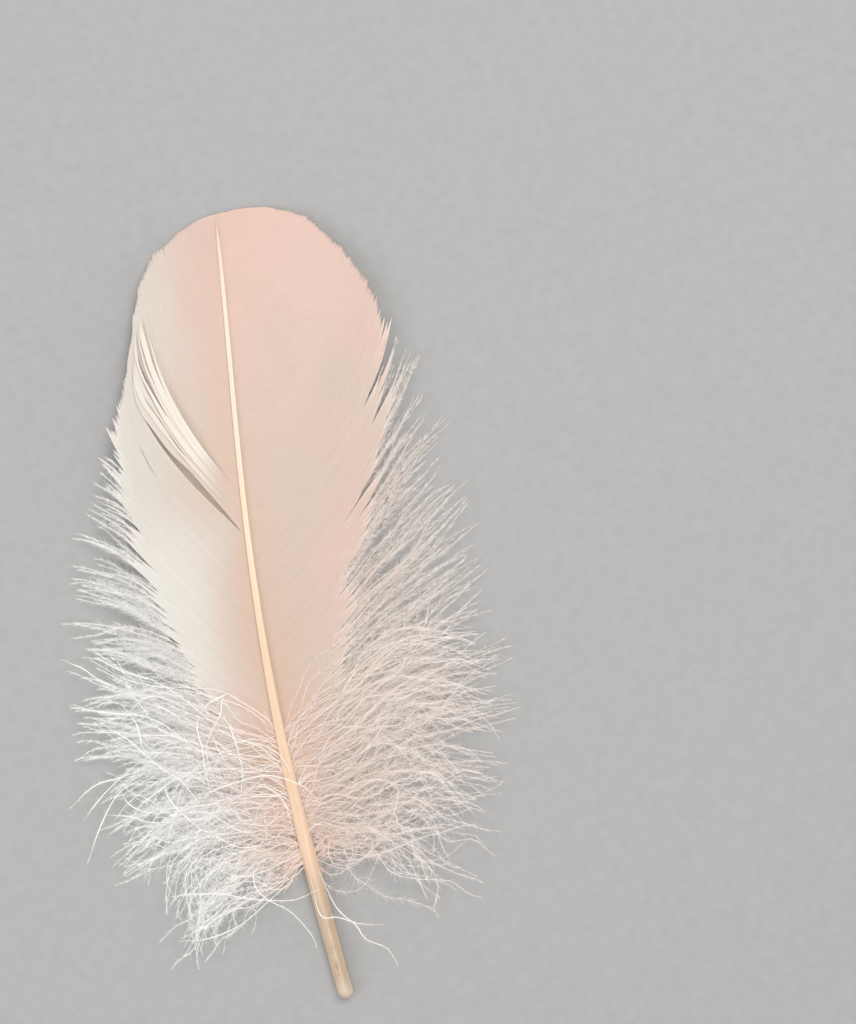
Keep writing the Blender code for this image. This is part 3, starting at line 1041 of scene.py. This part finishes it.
def feather_colour(nodes):
    """Cream and white on the left, warm by the shaft, pink on the right and at the top."""
    away = nodes.attribute("away")
    cloud = nodes.noise(0.022, 3.0, 4.0, (1.0, 0.6, 1.0))
    place = nodes.math("MULTIPLY", nodes.math("ADD", away, 1.0), 0.5)
    place = nodes.math("ADD", place, nodes.scale(cloud, 0.3, 0.7, -0.06, 0.06))
    colour = nodes.ramp(
        place,
        (0.0, srgb(237, 237, 231)),
        (0.2, srgb(233, 230, 223)),
        (0.34, srgb(228, 221, 212)),
        (0.46, srgb(225, 208, 194)),
        (0.52, srgb(226, 202, 184)),
        (0.6, srgb(224, 204, 189)),
        (0.72, srgb(223, 206, 193)),
        (0.88, srgb(225, 209, 196)),
        (1.0, srgb(230, 218, 208)),
    )
    rightward = nodes.scale(away, -0.55, 0.1, 0.15, 1.0)
    pink = nodes.scale(nodes.noise(0.026, 2.0, 17.0), 0.46, 0.68, 0.0, 0.6)
    colour = nodes.mix(nodes.math("MULTIPLY", pink, rightward), colour, srgb(231, 203, 193))
    yellow = nodes.scale(nodes.noise(0.03, 2.0, 11.0), 0.48, 0.7, 0.0, 0.6)
    colour = nodes.mix(nodes.math("MULTIPLY", yellow, rightward), colour, srgb(224, 207, 185))
    rise = nodes.attribute("rise")
    height = nodes.math("ADD", rise, nodes.scale(cloud, 0.3, 0.7, -0.07, 0.07))
    high = nodes.math("MULTIPLY", nodes.scale(height, 0.74, 1.0, 0.0, 0.75), rightward)
    colour = nodes.mix(high, colour, srgb(238, 210, 198))
    leftward = nodes.scale(away, -0.04, -0.34, 0.0, 0.4)
    white = nodes.math("MULTIPLY", nodes.scale(rise, 0.68, 0.58), leftward)
    colour = nodes.mix(white, colour, srgb(241, 240, 235))
    low = nodes.scale(rise, 0.62, 0.3, 0.0, 0.6)
    near = nodes.scale(nodes.math("ABSOLUTE", away), 0.3, 0.0)
    return nodes.mix(nodes.math("MULTIPLY", low, near), colour, srgb(225, 196, 172))


def vane_material():
    """Closed barbs: fine ridges, a faint difference from barb to barb, a silky surface, and a painted
    highlight on the raised strands above the split.
    """
    nodes = Nodes("vane")
    colour = feather_colour(nodes)
    tone = nodes.attribute("tone")
    shade = nodes.scale(tone, -1.0, 1.0, 0.0, 0.06)
    colour = nodes.mix(shade, colour, srgb(205, 188, 174))
    # Painted highlight: the raised strands above the split are made lighter and whiter, as if they
    # caught more light
    raised_highlight = nodes.scale(nodes.attribute("lift"), 0.15, 0.9, 0.0, 0.85)
    colour = nodes.mix(raised_highlight, colour, srgb(244, 239, 230))
    loose = nodes.attribute("loose")
    colour = nodes.mix(nodes.math("MULTIPLY", loose, 0.7), colour, srgb(246, 240, 234))
    fine = nodes.noise(0.00022, 2.0, 2.0)
    wide = nodes.noise(0.0016, 2.0, 7.0)
    height = nodes.math("ADD", fine, nodes.math("MULTIPLY", wide, 0.6))
    roughness = nodes.scale(wide, 0.3, 0.7, 0.5, 0.66)
    normal = nodes.bump(height, 0.25, 0.00006)
    return nodes.surface(colour, roughness, normal, through=0.4)


def down_material():
    """Loose barbs and their barbules: whiter towards the tips, warm at the shaft."""
    nodes = Nodes("down")
    base = nodes.mix(0.7, feather_colour(nodes), srgb(255, 238, 228))
    right = nodes.scale(nodes.attribute("away"), -0.1, 0.5)
    tips = nodes.mix(right, srgb(253, 253, 251), srgb(254, 245, 238))
    reach = nodes.attribute("reach")
    colour = nodes.mix(nodes.scale(reach, 0.05, 0.75), base, tips)
    tone = nodes.scale(nodes.attribute("tone"), -1.0, 1.0, 0.0, 0.08)
    colour = nodes.mix(tone, colour, srgb(236, 226, 218))
    fine = nodes.noise(0.0003, 1.0, 3.0)
    roughness = nodes.scale(fine, 0.3, 0.7, 0.48, 0.62)
    normal = nodes.bump(fine, 0.15, 0.00004)
    return nodes.surface(colour, roughness, normal, through=0.08)


def shaft_material():
    """Tan horn at the quill with darker marks in it, turning to cream along the vane, with a painted
    highlight along both sides and painted shade along its groove.
    """
    nodes = Nodes("shaft")
    along = nodes.attribute("rise")
    colour = nodes.ramp(
        along,
        (0.0, srgb(214, 199, 178)),
        (0.03, srgb(189, 166, 140)),
        (0.12, srgb(197, 172, 145)),
        (0.19, srgb(225, 193, 164)),
        (0.32, srgb(230, 197, 167)),
        (0.45, srgb(232, 202, 172)),
        (0.57, srgb(235, 211, 183)),
        (0.75, srgb(238, 217, 193)),
        (0.9, srgb(238, 218, 199)),
        (1.0, srgb(236, 214, 200)),
    )
    streaks = nodes.noise(0.0012, 3.0, 5.0, (1.0, 0.06, 1.0))
    colour = nodes.mix(nodes.scale(streaks, 0.42, 0.75, 0.0, 0.28), colour, srgb(228, 192, 158))
    side = nodes.attribute("side")
    # Painted highlight: both sides of the shaft are made lighter, as a bright glassy rim
    edge = nodes.scale(nodes.math("ABSOLUTE", side), 0.55, 1.0, 0.0, 0.4)
    colour = nodes.mix(edge, colour, srgb(246, 232, 208))
    # Painted shade: a darker line along the groove left of the shaft's middle, where shade falls in it
    line = nodes.math("ABSOLUTE", nodes.math("ADD", side, GROOVE_PLACE))
    line = nodes.math("MULTIPLY", nodes.scale(line, 0.16, 0.0), nodes.scale(along, 0.18, 0.34))
    colour = nodes.mix(nodes.math("MULTIPLY", line, 0.22), colour, srgb(222, 180, 138))
    spots = nodes.noise(0.0016, 2.0, 9.0, (1.0, 0.8, 1.0))
    zone = nodes.math("MULTIPLY", nodes.scale(along, 0.015, 0.04), nodes.scale(along, 0.085, 0.05))
    spots = nodes.math("MULTIPLY", nodes.scale(spots, 0.5, 0.7), zone)
    colour = nodes.mix(nodes.math("MULTIPLY", spots, 0.55), colour, srgb(150, 112, 84))
    grain = nodes.noise(0.0004, 2.0, 1.0, (1.0, 0.1, 1.0))
    roughness = nodes.scale(grain, 0.3, 0.7, 0.3, 0.46)
    normal = nodes.bump(grain, 0.2, 0.00008)
    return nodes.surface(colour, roughness, normal, through=0.2, Coat_Weight=0.3, Coat_Roughness=0.25)


def floor_material():
    """Plain pale floor."""
    nodes = Nodes("floor")
    fine = nodes.noise(0.002, 2.0, 1.0)
    colour = nodes.ramp(fine, (0.3, srgb(152, 151, 150)), (0.7, srgb(156, 155, 154)))
    return nodes.surface(colour, 0.8, nodes.bump(fine, 0.05, 0.0001))


def map_from_above(made):
    """A flat layout of the surface as seen from above."""
    mesh = made.data
    layer = mesh.uv_layers.new(name="OFBake")
    points = np.empty(len(mesh.vertices) * 3, dtype=np.float32)
    mesh.vertices.foreach_get("co", points)
    points = points.reshape(-1, 3)
    index = np.empty(len(mesh.loops), dtype=np.int32)
    mesh.loops.foreach_get("vertex_index", index)
    flat = (points[:, :2] - points[:, :2].min(axis=0)) / np.ptp(points[:, :2], axis=0).max()
    layer.data.foreach_set("uv", flat[index].astype(np.float32).ravel())


def dress(made, material):
    """Gives a piece its material, a map from above and its body, and hides the solid that it stands
    for.
    """
    made.data.materials.append(material)
    map_from_above(made)
    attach(made, "root")
    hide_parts("feather")


def make_floor():
    """Large level floor just under the feather."""
    bpy.ops.mesh.primitive_plane_add(size=FLOOR_SIZE, location=(0, 0, -FLOOR_GAP * MM))
    floor = bpy.context.object
    floor.name = "floor"
    floor.data.materials.append(floor_material())


def make_lamp(name, place, size, power, colour):
    """Soft square lamp that looks at the feather."""
    data = bpy.data.lights.new(name, "AREA")
    data.shape = "SQUARE"
    data.size = size
    data.energy = power
    data.color = colour
    lamp = bpy.data.objects.new(name, data)
    bpy.context.scene.collection.objects.link(lamp)
    lamp.location = place
    lamp.rotation_mode = "QUATERNION"
    lamp.rotation_quaternion = (-lamp.location).to_track_quat("-Z", "Y")


def make_world():
    """Even grey light from all round."""
    world = bpy.data.worlds.new("studio")
    world.use_nodes = True
    background = world.node_tree.nodes["Background"]
    background.inputs["Color"].default_value = WORLD_COLOUR
    background.inputs["Strength"].default_value = WORLD_STRENGTH
    bpy.context.scene.world = world


def make_camera():
    """Camera straight above, framed as the photograph."""
    x, y = on_feather(np.array([PICTURE_WIDTH / 2, PICTURE_HEIGHT / 2]))
    distance = PICTURE_HEIGHT * MM_PER_PIXEL * LENS / SENSOR
    data = bpy.data.cameras.new("camera")
    data.lens = LENS
    data.sensor_width = SENSOR
    data.clip_start = 0.01
    camera = bpy.data.objects.new("camera", data)
    bpy.context.scene.collection.objects.link(camera)
    camera.location = ((x - MIDDLE_X) * MM, (y - MIDDLE_Y) * MM, (distance + CAMERA_LEVEL) * MM)
    camera.rotation_euler = (0, 0, -CAMERA_ROLL)
    bpy.context.scene.camera = camera


def main():
    """Builds every piece, the stage and the camera."""
    vane, down, shaft = vane_material(), down_material(), shaft_material()
    dress(make_shaft(), shaft)
    for sign, seed in SEEDS.items():
        side = Side(sign)
        rng = np.random.default_rng(seed)
        made, paths, closed = make_vane(side, rng)
        dress(made, vane)
        dress(join_parts(f"fringe_{side.name}", make_fringe(side, rng, paths, closed)), down)
        dress(join_parts(f"down_{side.name}", make_down_parts(side, rng)), down)
    make_floor()
    for lamp in LAMPS:
        make_lamp(*lamp)
    make_world()
    make_camera()
    bpy.context.scene.view_settings.view_transform = "Standard"


main()
